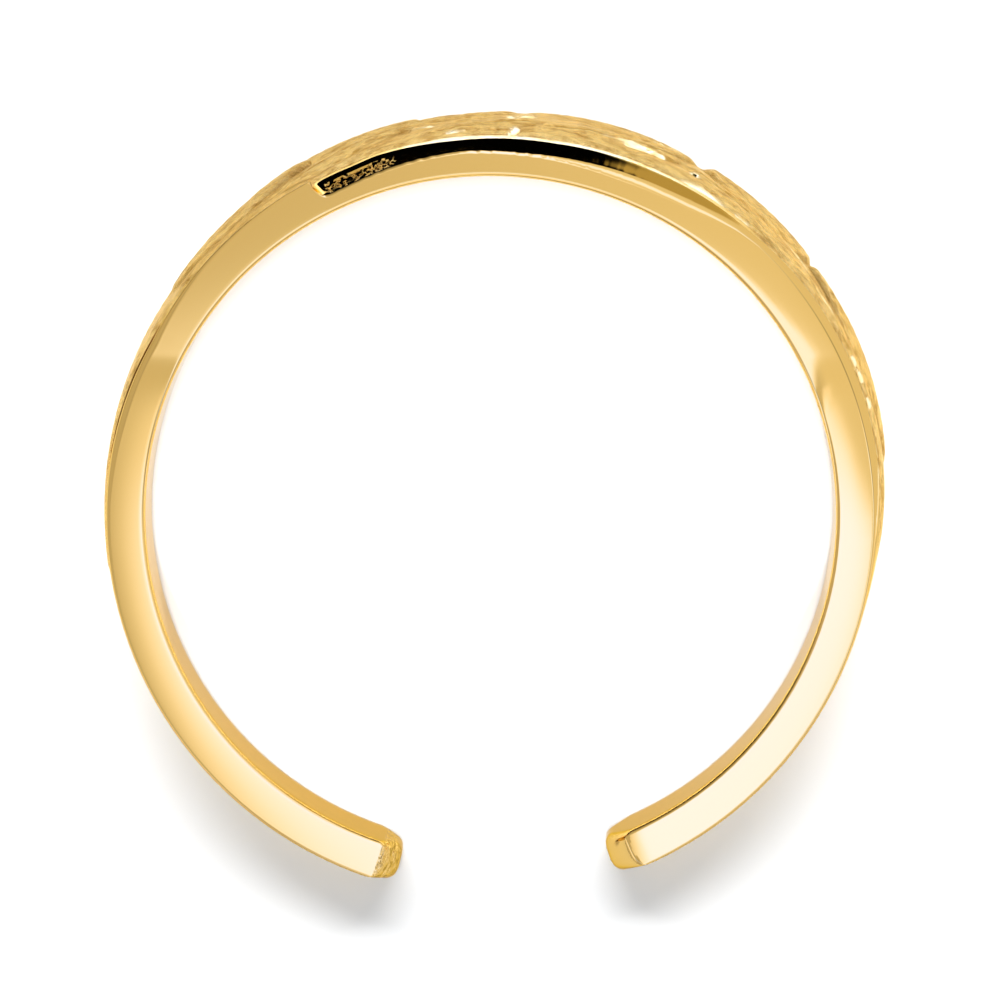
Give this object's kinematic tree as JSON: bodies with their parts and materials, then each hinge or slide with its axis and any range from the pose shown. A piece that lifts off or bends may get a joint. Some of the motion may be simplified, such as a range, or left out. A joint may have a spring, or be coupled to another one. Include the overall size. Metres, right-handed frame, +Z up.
{
  "type": "adjustable toe ring",
  "caption": "Open, springy gold toe ring with a plain tapering shank and a swollen front of overlapping leaves, for wearing on a toe.",
  "frame": {"origin": "point where the axis of the toe hole meets the surface that the ring lies on", "axes": "+Z up from that surface, +Y towards the leaf-covered front, the gap between the ends towards -Y"},
  "size_m": [0.0169, 0.0167, 0.0048],
  "materials": {
    "gold": "yellow gold, polished side faces and satin leaves"
  },
  "bodies": {
    "root": {"band": "gold"}
  },
  "joints": []
}
